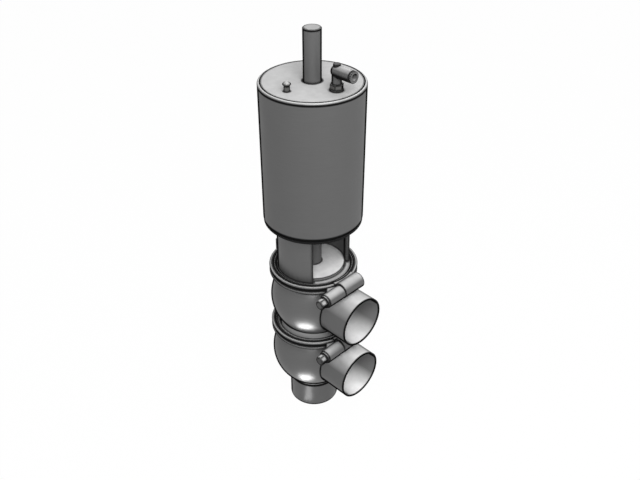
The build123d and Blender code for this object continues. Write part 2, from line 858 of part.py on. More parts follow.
def make_fitting_cap():
    """Small round cap on top of the elbow."""
    seat_z = cover_z + elbow_axis + stub_r - cap_t
    cap = rod(cap_r, seat_z, seat_z + 2 * cap_t, air_x)
    cap = chamfer(cap.edges().filter_by(GeomType.CIRCLE).sort_by(Axis.Z)[-1], cap_t / 3)
    return cap + rod(cap_pin_r, seat_z + cap_t - cap_pin, seat_z, air_x)


def make_fitting_collet():
    """Release collet that grips the air hose."""
    axis_z = cover_z + elbow_axis
    end_x = air_x + collet_reach
    collet = cross_rod(collet_r, end_x - collet_length, end_x, axis_z)
    collet += cross_rod(collet_flange_r, end_x - collet_flange_t, end_x, axis_z)
    return collet - cross_rod(air_hose_r, end_x - collet_length, end_x, axis_z)


def make_breather_body():
    """Breather stem screwed into the cover."""
    neck_z = cover_z + breather_t
    top_z = neck_z + breather_neck + breather_head_t / 2
    body = rod(breather_thread_r, cover_z - breather_thread, cover_z, breather_x, breather_y)
    body += rod(breather_r, cover_z, neck_z, breather_x, breather_y)
    body += rod(breather_neck_r, neck_z, top_z, breather_x, breather_y)
    return body - rod(breather_way_r, cover_low_z, neck_z, breather_x, breather_y)


def make_breather_cap():
    """Domed mushroom head of the breather."""
    low_z = cover_z + breather_t + breather_neck
    top_z = low_z + breather_head_t
    edge_z = low_z + breather_head_t / 4
    dome_t = top_z - edge_z
    ball_radius = (breather_head_r ** 2 + dome_t ** 2) / (2 * dome_t)
    dome = Pos(breather_x, breather_y, top_z - ball_radius) * Sphere(ball_radius)
    dome &= rod(breather_head_r, edge_z, top_z, breather_x, breather_y)
    cap = dome + rod(breather_head_r, low_z, edge_z, breather_x, breather_y)
    pin_top_z = low_z + breather_head_t / 2
    return cap - rod(breather_neck_r + fit_gap, low_z, pin_top_z, breather_x, breather_y)


def flange_room(joint_z, middle_x=0):
    """Space left for the flanges and necks at +X, turned about the axis at middle_x."""
    room_r = flange_r + clamp_gap - middle_x
    lip_r = clamp_lip_r - middle_x
    mouth_r = clamp_mouth_r - middle_x
    edge_half = flange_edge_t + clamp_gap
    lip_half = edge_half + (room_r - lip_r) * taper_slope
    chamfer_half = clamp_half - clamp_lip_chamfer
    room = turned([
        (0, joint_z - clamp_half),
        (mouth_r, joint_z - clamp_half),
        (lip_r, joint_z - chamfer_half),
        (lip_r, joint_z - lip_half),
        (room_r, joint_z - edge_half),
        (room_r, joint_z + edge_half),
        (lip_r, joint_z + lip_half),
        (lip_r, joint_z + chamfer_half),
        (mouth_r, joint_z + clamp_half),
        (0, joint_z + clamp_half),
    ])
    return Pos(middle_x, 0, 0) * room


def clamp_ring(joint_z):
    """Whole clamp ring: stepped end faces and a waist between two round beads."""
    step_half = clamp_half - clamp_step
    land_r = clamp_mouth_r + clamp_land
    band = rod(clamp_r - clamp_waist, joint_z - step_half, joint_z + step_half)
    band += rod(land_r, joint_z - clamp_half, joint_z + clamp_half)
    for side in (1, -1):
        bead_z = joint_z + side * (clamp_half - clamp_bead_r)
        band += Pos(0, 0, bead_z) * Torus(clamp_r - clamp_bead_r, clamp_bead_r)
    return band


def plain_web(low_y, high_y, joint_z):
    """Web of the plain lug, cut back from the lug's free end to the ring."""
    outline = Polyline(
        (clamp_lip_r, high_y),
        (lug_x, high_y),
        (lug_x, low_y),
        (clamp_lip_r, high_y - lug_a_web_y),
        close=True,
    )
    return Pos(0, 0, joint_z) * extrude(make_face(outline), lug_a_web / 2, both=True)


def far_web(low_y, high_y, joint_z):
    """Web of the far lug, as high as the ring."""
    low = (clamp_lip_r, low_y, joint_z - clamp_half)
    high = (lug_x - lug_b_in, high_y, joint_z + clamp_half)
    return block(low, high)


def knuckle(low_z, high_z, side):
    """Part of the hinge on the ring's -X side; side is the half's Y direction."""
    arm_low_y = min(0, side * knuckle_r)
    arm_high_y = max(0, side * knuckle_r)
    arm_end_x = -clamp_r + 2 * clamp_bead_r
    arm = block((pin_x, arm_low_y, low_z), (arm_end_x, arm_high_y, high_z))
    gap = block((pin_x + knuckle_r, -knuckle_gap / 2, low_z), (0, knuckle_gap / 2, high_z))
    return rod(knuckle_r, low_z, high_z, pin_x) + arm - gap


def make_clamp_half_a(joint_z):
    """Fixed half of a clamp, with the bolt's plain lug and the hinge's ears."""
    reach = 2 * clamp_r
    tall = clamp_height
    lug_high_y = lug_split_y - lug_split / 2
    lug_low_y = lug_high_y - lug_a_length
    half = clamp_ring(joint_z)
    half += plain_web(lug_low_y, lug_high_y, joint_z)
    half += side_rod(lug_a_r, lug_low_y, lug_high_y, lug_x, joint_z)
    half -= block((-reach, -knuckle_gap / 2, joint_z - tall), (0, reach, joint_z + tall))
    half -= block((0, lug_high_y, joint_z - tall), (reach, reach, joint_z + tall))
    ear_low = tongue_half + knuckle_gap
    for low_z, high_z in ((ear_low, knuckle_half), (-knuckle_half, -ear_low)):
        half += knuckle(joint_z + low_z, joint_z + high_z, -1)
    slot_half = tongue_half + knuckle_gap
    slot_r = knuckle_r + knuckle_gap
    half -= rod(slot_r, joint_z - slot_half, joint_z + slot_half, pin_x)
    half -= rod(pin_r + fit_gap, joint_z - tall, joint_z + tall, pin_x)
    half -= side_rod(bolt_r + run_gap, lug_low_y, lug_high_y, lug_x, joint_z)
    return half - flange_room(joint_z)


def make_clamp_half_b(joint_z):
    """Swinging half of a clamp, with the bolt's far lug and the hinge's tongue."""
    reach = 2 * clamp_r
    tall = clamp_height
    lug_low_y = lug_split_y + lug_split / 2
    lug_high_y = lug_low_y + lug_b_length
    half = clamp_ring(joint_z)
    half += far_web(lug_low_y, lug_high_y, joint_z)
    half += side_rod(lug_b_r, lug_low_y, lug_high_y, lug_x - lug_b_in, joint_z)
    half -= block((-reach, -reach, joint_z - tall), (0, knuckle_gap / 2, joint_z + tall))
    half -= block((0, -reach, joint_z - tall), (reach, lug_low_y, joint_z + tall))
    half += knuckle(joint_z - tongue_half, joint_z + tongue_half, 1)
    half -= rod(pin_r + run_gap, joint_z - tall, joint_z + tall, pin_x)
    half -= side_rod(bolt_r + bolt_swing_gap, lug_low_y, lug_high_y, lug_x, joint_z)
    swing = flange_room(joint_z, pin_x)
    swing &= block((0, lug_low_y, joint_z - tall), (reach, 0, joint_z + tall))
    return half - swing - flange_room(joint_z)


def make_clamp_pin(joint_z):
    """Hinge pin of a clamp."""
    reach = knuckle_half + pin_over
    pin = rod(pin_r, joint_z - reach, joint_z + reach, pin_x)
    return chamfer(pin.edges().filter_by(GeomType.CIRCLE), pin_chamfer)


def make_clamp_bolt(joint_z):
    """Clamp bolt with a flanged hexagon head."""
    lug_high_y = lug_split_y - lug_split / 2
    seat_y = lug_high_y - lug_a_length
    tip_y = lug_split_y + lug_split / 2 + lug_b_length - bolt_tip
    head_y = seat_y - bolt_flange_t
    bolt = side_rod(bolt_r, seat_y, tip_y, lug_x, joint_z)
    bolt += side_rod(bolt_flange_r, head_y, seat_y, lug_x, joint_z)
    hexagon_r = bolt_flats / math.sqrt(3)
    head = extrude(RegularPolygon(hexagon_r, 6), bolt_head_t)
    blank = Pos(0, 0, bolt_head_t / 2) * Cylinder(hexagon_r, bolt_head_t)
    head &= chamfer(blank.edges().filter_by(GeomType.CIRCLE).sort_by(Axis.Z)[-1], bolt_bevel)
    return bolt + Pos(lug_x, head_y, joint_z) * Rot(90, 0, 0) * Rot(0, 0, bolt_turn) * head


def parts():
    """Every piece of the valve by its node's name."""
    made = {
        "upper_body": make_upper_body(),
        "upper_port_tube": side_port(upper_ball_z, seat_joint_z, top_joint_z),
        "lower_body": make_lower_body(),
        "lower_port_tube": side_port(lower_ball_z, lower_ball_z, seat_joint_z),
        "bottom_port_tube": make_bottom_port_tube(),
        "seat_ring": make_seat_ring(),
        "seat_gaskets": make_seat_gaskets(),
        "plug": make_plug(),
        "plug_seal": make_plug_seal(),
        "plug_retainer": make_plug_retainer(),
        "plug_nut": make_plug_nut(),
        "stem": make_stem(),
        "top_rod": make_top_rod(),
        "piston": make_piston(),
        "piston_seal": make_piston_seal(),
        "piston_guide": make_piston_guide(),
        "air_tube_seal": make_air_tube_seal(),
        "lantern": make_lantern(),
        "bonnet": make_bonnet(),
        "bonnet_bush": make_bonnet_bush(),
        "bonnet_lip_seal": make_bonnet_lip_seal(),
        "bonnet_gasket": make_bonnet_gasket(),
        "actuator_base": make_base(),
        "base_bush": make_base_bush(),
        "base_rod_seal": make_base_rod_seal(),
        "base_wire": make_base_wire(),
        "base_oring": make_base_oring(),
        "actuator_shell": make_shell(),
        "actuator_cover": make_cover(),
        "cover_oring": make_cover_oring(),
        "cover_bush": make_cover_bush(),
        "cover_rod_seal": make_cover_rod_seal(),
        "stop_sleeve": make_stop_sleeve(),
        "spring_seat": make_spring_seat(),
        "spring": make_spring(),
        "air_tube": make_air_tube(),
        "fitting_stud": make_fitting_stud(),
        "fitting_elbow": make_fitting_elbow(),
        "fitting_cap": make_fitting_cap(),
        "fitting_collet": make_fitting_collet(),
        "breather_body": make_breather_body(),
        "breather_cap": make_breather_cap(),
    }
    for name, joint_z in (("upper", top_joint_z), ("lower", seat_joint_z)):
        made[name + "_clamp_half_a"] = make_clamp_half_a(joint_z)
        made[name + "_clamp_half_b"] = make_clamp_half_b(joint_z)
        made[name + "_clamp_pin"] = make_clamp_pin(joint_z)
        made[name + "_clamp_bolt"] = make_clamp_bolt(joint_z)
    return made


os.makedirs("parts", exist_ok=True)
for node, shape in parts().items():
    export_step(shape, f"parts/{node}.step")
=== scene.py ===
import json
import math

import bmesh
import bpy
from mathutils import Euler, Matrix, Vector


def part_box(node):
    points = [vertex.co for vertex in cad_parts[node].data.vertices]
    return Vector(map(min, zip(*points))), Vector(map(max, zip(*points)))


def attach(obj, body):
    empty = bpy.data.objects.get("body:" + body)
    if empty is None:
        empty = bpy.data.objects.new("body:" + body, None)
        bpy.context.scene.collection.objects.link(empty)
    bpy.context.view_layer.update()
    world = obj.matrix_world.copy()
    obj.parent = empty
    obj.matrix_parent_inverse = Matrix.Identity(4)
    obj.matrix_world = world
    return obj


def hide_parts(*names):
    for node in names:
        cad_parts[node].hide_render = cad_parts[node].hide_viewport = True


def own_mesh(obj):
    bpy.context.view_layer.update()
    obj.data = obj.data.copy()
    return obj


# Looks of a pneumatic single seat valve. Metres, in the frame of the packed
# model: the origin is the middle of the bottom port's end, +Z runs up the
# valve's axis and +X out along the two side ports.

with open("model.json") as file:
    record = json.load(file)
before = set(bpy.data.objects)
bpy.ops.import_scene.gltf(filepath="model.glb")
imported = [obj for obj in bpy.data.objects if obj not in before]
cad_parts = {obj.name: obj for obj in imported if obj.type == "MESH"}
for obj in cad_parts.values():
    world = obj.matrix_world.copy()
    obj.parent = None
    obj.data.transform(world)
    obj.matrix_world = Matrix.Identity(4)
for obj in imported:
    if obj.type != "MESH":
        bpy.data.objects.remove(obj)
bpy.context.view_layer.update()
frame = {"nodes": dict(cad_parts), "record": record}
nodes = frame["nodes"]


def middle_z(node):
    """Height of a node's middle."""
    low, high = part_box(node)
    return (low.z + high.z) / 2


# Places read from the frame
upper_tube_low, upper_tube_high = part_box("upper_port_tube")
lower_tube_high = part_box("lower_port_tube")[1]
bottom_tube_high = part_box("bottom_port_tube")[1]
lantern_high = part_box("lantern")[1]
shell_low, shell_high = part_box("actuator_shell")
cover_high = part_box("actuator_cover")[1]
rod_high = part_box("top_rod")[1]
collet_low, collet_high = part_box("fitting_collet")
tube_r = (upper_tube_high.z - upper_tube_low.z) / 2
weld_x = upper_tube_low.x
upper_port_z = middle_z("upper_port_tube")
lower_port_z = middle_z("lower_port_tube")
upper_port = (0, 0, upper_port_z)
lower_port = (0, 0, lower_port_z)
upper_clamp_z = middle_z("upper_clamp_pin")
lower_clamp_z = middle_z("lower_clamp_pin")
elbow_bore_z = middle_z("fitting_collet")
elbow_bore = (0, 0, elbow_bore_z)
collet_r = (collet_high.z - collet_low.z) / 2

# Sizes that the frame doesn't give
lantern_r = 0.035          # outside of the lantern
ball_r = 0.0428            # outside of the ball shaped bodies
clamp_ring_r = 0.0434      # just past the clamps' beads, short of their lugs
clamp_step_r = 0.0394      # groove between a clamp's lip and its bead
flange_gap_r = 0.0363      # gap between the lantern and the clamp's lip
rim_roll = 0.0022          # height of the shell's rolled rim
rim_seam_in = 0.0014       # seam inside the cover's edge
rod_edge_drop = 0.0009     # dark edge below the rod's end
foot_joint_rise = 0.0012   # joint of the lower ball above the bottom tube
foot_bead_in = 0.0003      # its weld bead inside the tube's outside
rib_inset = 0.00065        # collet ribs' middle behind its face

# Directions along which a ring line's place is measured
UP = (0, 0, 1)
ALONG_PORTS = (1, 0, 0)
FROM_AXIS = (1, 1, 0)

VECTOR = "NodeSocketVector"
FLOAT = "NodeSocketFloat"
EDGE_COLOUR = (0.006, 0.006, 0.006, 1)
TURN_TO_X = (0, math.pi / 2, 0)      # turns a pattern or a ring from Z to X


# Small helpers for node trees
def plug_in(tree, socket, value):
    """Links a socket, or sets its value."""
    if isinstance(value, bpy.types.NodeSocket):
        tree.links.new(value, socket)
    else:
        socket.default_value = value


def add(tree, kind, inputs=None, **settings):
    """New node; an input is a value, or a socket to link from."""
    made = tree.nodes.new(kind)
    for name, value in settings.items():
        setattr(made, name, value)
    for name, value in (inputs or {}).items():
        plug_in(tree, made.inputs[name], value)
    return made


def maths(tree, operation, *values, clamp=False):
    """Result of a sum on values and sockets in order."""
    made = add(tree, "ShaderNodeMath", dict(enumerate(values)), operation=operation, use_clamp=clamp)
    return made.outputs[0]


def vector_maths(tree, operation, *values):
    """Result of a sum on vectors in order: a number for a dot product, length or distance."""
    made = add(tree, "ShaderNodeVectorMath", dict(enumerate(values)), operation=operation)
    return made.outputs["Value" if operation in ("DOT_PRODUCT", "LENGTH", "DISTANCE") else "Vector"]


def remap(tree, value, low, high, start=0.0, end=1.0):
    """Value moved from one range to another and held at its ends."""
    return add(tree, "ShaderNodeMapRange", {0: value, 1: low, 2: high, 3: start, 4: end}).outputs[0]


def blend_colours(tree, factor, first, second):
    """Mix of two colours by a factor."""
    made = tree.nodes.new("ShaderNodeMix")
    made.data_type = "RGBA"
    made.clamp_factor = True
    for index, value in ((0, factor), (6, first), (7, second)):
        plug_in(tree, made.inputs[index], value)
    return made.outputs[2]


def new_group(name, inputs, outputs):
    """Shader node group with named sockets; returns its tree and its two ends."""
    tree = bpy.data.node_groups.new(name, "ShaderNodeTree")
    for label, kind, value in inputs:
        socket = tree.interface.new_socket(label, in_out="INPUT", socket_type=kind)
        if value is not None:
            socket.default_value = value
    for label, kind in outputs:
        tree.interface.new_socket(label, in_out="OUTPUT", socket_type=kind)
    return tree, tree.nodes.new("NodeGroupInput"), tree.nodes.new("NodeGroupOutput")


def use_group(tree, group, **inputs):
    """Places a group in a tree; an input's name has _ for a space."""
    made = tree.nodes.new("ShaderNodeGroup")
    made.node_tree = group
    for name, value in inputs.items():
        plug_in(tree, made.inputs[name.replace("_", " ").capitalize()], value)
    return made.outputs


# Effects that several materials share
def make_turned_lines():
    """Fine tool or grinding lines that run round the Z axis of the pattern."""
    tree, start, end = new_group(
        "Turned lines",
        [("Vector", VECTOR, None), ("Lines", FLOAT, 2500.0), ("Broken", FLOAT, 3.0)],
        [("Value", FLOAT)],
    )
    x, y, z = add(tree, "ShaderNodeSeparateXYZ", {0: start.outputs["Vector"]}).outputs
    squares = maths(tree, "ADD", maths(tree, "MULTIPLY", x, x), maths(tree, "MULTIPLY", y, y))
    radius = maths(tree, "SQRT", squares)
    across = maths(tree, "MULTIPLY", maths(tree, "ADD", radius, z), start.outputs["Lines"])
    angle = maths(tree, "ARCTAN2", y, x)
    round_x = maths(tree, "MULTIPLY", maths(tree, "COSINE", angle), start.outputs["Broken"])
    round_y = maths(tree, "MULTIPLY", maths(tree, "SINE", angle), start.outputs["Broken"])
    where = add(tree, "ShaderNodeCombineXYZ", {0: across, 1: round_x, 2: round_y})
    noise = add(tree, "ShaderNodeTexNoise", {
        "Vector": where.outputs[0], "Scale": 1.0, "Detail": 3.0, "Roughness": 0.6,
    })
    tree.links.new(noise.outputs[0], end.inputs["Value"])
    return tree


def make_mottle():
    """Even mottling, as on tumbled, moulded or handled surfaces."""
    tree, start, end = new_group(
        "Mottle",
        [("Vector", VECTOR, None), ("Scale", FLOAT, 100.0), ("Detail", FLOAT, 4.0)],
        [("Value", FLOAT)],
    )
    noise = add(tree, "ShaderNodeTexNoise", {
        "Vector": start.outputs["Vector"], "Scale": start.outputs["Scale"],
        "Detail": start.outputs["Detail"], "Roughness": 0.55,
    })
    tree.links.new(remap(tree, noise.outputs[0], 0.3, 0.7), end.inputs["Value"])
    return tree


def make_edge_lines():
    """Mask along the edges, broken up by a mottle, and a normal that rounds them."""
    tree, start, end = new_group(
        "Edge lines",
        [("Reach", FLOAT, 0.0014), ("Breaks", FLOAT, 0.3), ("Radius", FLOAT, 0.0004)],
        [("Mask", FLOAT), ("Normal", VECTOR)],
    )
    wide = add(tree, "ShaderNodeBevel", {"Radius": start.outputs["Reach"]}, samples=8)
    slim = add(tree, "ShaderNodeBevel", {"Radius": start.outputs["Radius"]}, samples=4)
    flat = add(tree, "ShaderNodeNewGeometry")
    agree = vector_maths(tree, "DOT_PRODUCT", wide.outputs[0], flat.outputs["Normal"])
    bend = maths(tree, "MULTIPLY", maths(tree, "SUBTRACT", 1.0, agree), 60.0, clamp=True)
    place = add(tree, "ShaderNodeTexCoord")
    noise = add(tree, "ShaderNodeTexNoise", {"Vector": place.outputs["Object"], "Scale": 500.0, "Detail": 2.0})
    kept = maths(tree, "SUBTRACT", 1.0, maths(tree, "MULTIPLY", noise.outputs[0], start.outputs["Breaks"]))
    tree.links.new(maths(tree, "MULTIPLY", bend, kept, clamp=True), end.inputs["Mask"])
    tree.links.new(slim.outputs[0], end.inputs["Normal"])
    return tree


def make_painted_crevice_shade():
    """Mask of the corners and joints, from ambient occlusion, for the shade painted there."""
    tree, start, end = new_group("Crevices", [("Reach", FLOAT, 0.003)], [("Mask", FLOAT)])
    shade = add(tree, "ShaderNodeAmbientOcclusion", {"Distance": start.outputs["Reach"]}, samples=8)
    open_share = maths(tree, "POWER", shade.outputs["AO"], 2.5)
    tree.links.new(maths(tree, "SUBTRACT", 1.0, open_share, clamp=True), end.inputs["Mask"])
    return tree


def make_painted_top_light():
    """Mask of the light painted on faces that look up, a little patchy."""
    tree, start, end = new_group(
        "Painted top light", [("Vector", VECTOR, None), ("Amount", FLOAT, 0.8)], [("Mask", FLOAT)],
    )
    flat = add(tree, "ShaderNodeNewGeometry")
    up = add(tree, "ShaderNodeSeparateXYZ", {0: flat.outputs["Normal"]}).outputs["Z"]
    facing = maths(tree, "POWER", maths(tree, "MAXIMUM", up, 0.0), 2.0)
    spread = remap(tree, facing, 0.25, 1.0)
    noise = add(tree, "ShaderNodeTexNoise", {"Vector": start.outputs["Vector"], "Scale": 160.0, "Detail": 6.0})
    patchy = remap(tree, noise.outputs[0], 0.3, 0.7, 0.86, 1.0)
    share = maths(tree, "MULTIPLY", maths(tree, "MULTIPLY", spread, patchy), start.outputs["Amount"])
    tree.links.new(share, end.inputs["Mask"])
    return tree


def make_inner_walls():
    """Mask of the walls that face the middle of a tube or ball."""
    tree, start, end = new_group(
        "Inner walls",
        [("Vector", VECTOR, None), ("Normal", VECTOR, None),
         ("Centre", VECTOR, (0, 0, 0)), ("Across", VECTOR, FROM_AXIS)],
        [("Mask", FLOAT)],
    )
    away = vector_maths(tree, "SUBTRACT", start.outputs["Vector"], start.outputs["Centre"])
    across = vector_maths(tree, "MULTIPLY", away, start.outputs["Across"])
    outward = vector_maths(tree, "NORMALIZE", across)
    agree = vector_maths(tree, "DOT_PRODUCT", outward, start.outputs["Normal"])
    tree.links.new(maths(tree, "MULTIPLY", agree, -4.0, clamp=True), end.inputs["Mask"])
    return tree


def make_off_the_balls():
    """Mask of what stands further out than the two polished balls, such as the turned necks."""
    tree, start, end = new_group(
        "Off the balls",
        [("Vector", VECTOR, None), ("Upper", VECTOR, upper_port), ("Lower", VECTOR, lower_port),
         ("Ball radius", FLOAT, ball_r)],
        [("Mask", FLOAT)],
    )
    from_upper = vector_maths(tree, "DISTANCE", start.outputs["Vector"], start.outputs["Upper"])
    from_lower = vector_maths(tree, "DISTANCE", start.outputs["Vector"], start.outputs["Lower"])
    over = maths(tree, "SUBTRACT", maths(tree, "MINIMUM", from_upper, from_lower), start.outputs["Ball radius"])
    tree.links.new(remap(tree, over, 0.0003, 0.0006), end.inputs["Mask"])
    return tree


def make_ring_line():
    """Mask of a thin line that runs round an axis, at a distance measured along or from it."""
    tree, start, end = new_group(
        "Ring line",
        [("Vector", VECTOR, None), ("Along", VECTOR, UP), ("At", FLOAT, 0.0), ("Width", FLOAT, 0.001)],
        [("Mask", FLOAT)],
    )
    measured = vector_maths(tree, "MULTIPLY", start.outputs["Vector"], start.outputs["Along"])
    distance = vector_maths(tree, "LENGTH", measured)
    off = maths(tree, "ABSOLUTE", maths(tree, "SUBTRACT", distance, start.outputs["At"]))
    solid = maths(tree, "MULTIPLY", start.outputs["Width"], 0.4)
    tree.links.new(remap(tree, off, solid, start.outputs["Width"], 1.0, 0.0), end.inputs["Mask"])
    return tree


def make_cut_ends():
    """Mask of the sawn faces across an axis."""
    tree, start, end = new_group(
        "Cut ends", [("Normal", VECTOR, None), ("Axis", VECTOR, ALONG_PORTS)], [("Mask", FLOAT)],
    )
    agree = vector_maths(tree, "DOT_PRODUCT", start.outputs["Normal"], start.outputs["Axis"])
    tree.links.new(remap(tree, maths(tree, "ABSOLUTE", agree), 0.9, 0.98, 0.0, 0.95), end.inputs["Mask"])
    return tree


def make_outline():
    """Mask where a surface turns away; on a round bar it is as wide from any height."""
    tree, start, end = new_group(
        "Outline",
        [("Surface facing", FLOAT, 0.0), ("Axis facing", FLOAT, 1.0), ("Width", FLOAT, 0.25)],
        [("Mask", FLOAT)],
    )
    towards = maths(tree, "SUBTRACT", 1.0, start.outputs["Surface facing"])
    ahead = maths(tree, "SUBTRACT", 1.0, start.outputs["Axis facing"])
    square = maths(tree, "SUBTRACT", 1.0, maths(tree, "MULTIPLY", ahead, ahead))
    beside = maths(tree, "SQRT", maths(tree, "MAXIMUM", square, 0.03))
    faded = maths(tree, "MULTIPLY", start.outputs["Width"], 1.25)
    turned = maths(tree, "DIVIDE", towards, beside)
    tree.links.new(remap(tree, turned, start.outputs["Width"], faded, 1.0, 0.0), end.inputs["Mask"])
    return tree


turned_lines = make_turned_lines()
mottle = make_mottle()
edge_lines = make_edge_lines()
painted_crevice_shade = make_painted_crevice_shade()
painted_top_light = make_painted_top_light()
inner_walls = make_inner_walls()
off_the_balls = make_off_the_balls()
ring_line = make_ring_line()
cut_ends = make_cut_ends()
outline_line = make_outline()


def start_material(name, centre=(0, 0, 0), turn=(0, 0, 0)):
    """Empty material with a shader, the piece's own coordinates, and the pattern's about an axis."""
    material = bpy.data.materials.new(name)
    material.use_nodes = True
    tree = material.node_tree
    tree.nodes.clear()
    place = add(tree, "ShaderNodeTexCoord")
    axis = add(tree, "ShaderNodeMapping", {
        0: place.outputs["Object"], 1: centre, 2: turn,
    }, vector_type="TEXTURE")
    shader = add(tree, "ShaderNodeBsdfPrincipled")
    output = add(tree, "ShaderNodeOutputMaterial")
    tree.links.new(shader.outputs[0], output.inputs[0])
    return material, tree, place.outputs, axis.outputs[0], shader


def grey(value, tint=(1.0, 1.0, 1.0)):
    """Colour from a linear grey and a tint."""
    return (value * tint[0], value * tint[1], value * tint[2], 1)


def near_axis(tree, place, radius):
    """Mask of what lies within a radius of the valve's axis, such as a clamp's ring without its lugs."""
    flat = vector_maths(tree, "MULTIPLY", place["Object"], FROM_AXIS)
    return maths(tree, "LESS_THAN", vector_maths(tree, "LENGTH", flat), radius)


def outline(tree, width, axis=None):
    """Mask of a dark outline where the surface turns away, about a bar's axis or at any angle."""
    surface = add(tree, "ShaderNodeLayerWeight", {"Blend": 0.5})
    if axis is None:
        return use_group(tree, outline_line, surface_facing=surface.outputs["Facing"], width=width)["Mask"]
    turned = add(tree, "ShaderNodeVectorTransform", {0: axis}, convert_from="OBJECT", convert_to="WORLD")
    along = add(tree, "ShaderNodeLayerWeight", {"Blend": 0.5, "Normal": turned.outputs[0]})
    return use_group(tree, outline_line, surface_facing=surface.outputs["Facing"],
                     axis_facing=along.outputs["Facing"], width=width)["Mask"]


def strongest(tree, first, second):
    """The greater of two masks."""
    return maths(tree, "MAXIMUM", first, second)


def without(tree, mask, hidden):
    """A mask, less where another hides it."""
    return maths(tree, "MULTIPLY", mask, maths(tree, "SUBTRACT", 1.0, hidden))


def metal(name, tone, roughness, lines=2500.0, depth=0.4, tint=(1.0, 1.0, 1.0), contrast=0.1, smudge=0.08,
          edge=0.95, reach=0.0018, crevice_shade=0.6, crevice_shade_reach=0.002, top_light=1.0, top_light_tone=0.5, matt=0.4,
          outline_width=0.25, outline_axis=UP, rings=(), ring_r=None, ends=None,
          centre=(0, 0, 0), turn=(0, 0, 0), cast=False, inner_painted_tone=None, across=FROM_AXIS, painted_neck_tone=None):
    """Bare metal with tool lines or a tumbled grain, dark edges, painted shade in its corners and painted light
    on faces that look up.
    """
    material, tree, place, where, shader = start_material(name, centre, turn)
    if cast:
        grain = use_group(tree, mottle, vector=where, scale=lines, detail=3.0)["Value"]
    else:
        grain = use_group(tree, turned_lines, vector=where, lines=lines, broken=3.0)["Value"]
    hands = use_group(tree, mottle, vector=where, scale=38.0, detail=5.0)["Value"]
    edges = use_group(tree, edge_lines, reach=reach, breaks=0.25)
    crevice_shade_mask = use_group(tree, painted_crevice_shade, reach=crevice_shade_reach)["Mask"]
    top_lit = use_group(tree, painted_top_light, vector=where, amount=top_light)["Mask"]

    # Colour of the metal, and how much of it is matt
    colour = blend_colours(tree, grain, grey(tone * (1 - contrast), tint), grey(tone * (1 + contrast), tint))
    colour = blend_colours(tree, maths(tree, "MULTIPLY", hands, smudge), colour, grey(tone * 0.8, tint))
    plain = matt
    top_lit_colour = grey(top_light_tone)
    # Inner walls are painted paler and matt, with paler painted light from above: painted light where shade
    # falls inside the tube or ball.
    if inner_painted_tone is not None:
        inner = use_group(tree, inner_walls, vector=place["Object"], normal=place["Normal"],
                          centre=centre, across=across)["Mask"]
        colour = blend_colours(tree, inner, colour, grey(inner_painted_tone, tint))
        plain = strongest(tree, plain, maths(tree, "MULTIPLY", inner, 0.9))
        top_lit_colour = blend_colours(tree, inner, top_lit_colour, grey(min(1.0, top_light_tone * 1.3)))
    # Necks beside the balls are painted paler and matt: painted light where the balls shade them.
    if painted_neck_tone is not None:
        off = use_group(tree, off_the_balls, vector=place["Object"])["Mask"]
        colour = blend_colours(tree, off, colour, grey(painted_neck_tone, tint))
        plain = strongest(tree, plain, maths(tree, "MULTIPLY", off, 0.9))
    # Faces that look up are painted paler and matt: painted light from above.
    colour = blend_colours(tree, top_lit, colour, top_lit_colour)
    plain = strongest(tree, plain, maths(tree, "MULTIPLY", top_lit, 0.92))

    # Dark lines along edges, round rings, on sawn ends and where the surface turns away
    line = maths(tree, "MULTIPLY", edges["Mask"], edge)
    for along, at, width in rings:
        ring = use_group(tree, ring_line, vector=place["Object"], along=along, at=at, width=width)["Mask"]
        if ring_r is not None:
            ring = maths(tree, "MULTIPLY", ring, near_axis(tree, place, ring_r))
        line = strongest(tree, line, ring)
    if ends is not None:
        line = strongest(tree, line, use_group(tree, cut_ends, normal=place["Normal"], axis=ends)["Mask"])
    if ring_r is not None:
        bead_sides = maths(tree, "MULTIPLY", outline(tree, 0.7, UP), near_axis(tree, place, ring_r))
        line = strongest(tree, line, without(tree, bead_sides, top_lit))
    line = strongest(tree, line, without(tree, outline(tree, outline_width, outline_axis), top_lit))
    colour = blend_colours(tree, line, colour, EDGE_COLOUR)
    # Corners and joints are darkened by ambient occlusion: painted shade.
    colour = blend_colours(tree, maths(tree, "MULTIPLY", crevice_shade_mask, crevice_shade), colour, grey(tone * 0.1, tint))
    tree.links.new(colour, shader.inputs["Base Color"])
    bare = maths(tree, "SUBTRACT", 1.0, strongest(tree, plain, line), clamp=True)
    tree.links.new(bare, shader.inputs["Metallic"])
    shader.inputs["Specular IOR Level"].default_value = 0.0

    rough = maths(tree, "ADD", roughness - 0.06, maths(tree, "MULTIPLY", grain, 0.08))
    rough = maths(tree, "ADD", rough, maths(tree, "MULTIPLY", hands, smudge))
    rough = maths(tree, "ADD", rough, maths(tree, "MULTIPLY", strongest(tree, top_lit, line), 0.3), clamp=True)
    tree.links.new(rough, shader.inputs["Roughness"])
    bump = add(tree, "ShaderNodeBump", {
        "Strength": depth, "Distance": 0.00002, "Height": grain, "Normal": edges["Normal"],
    })
    tree.links.new(bump.outputs[0], shader.inputs["Normal"])
    return material


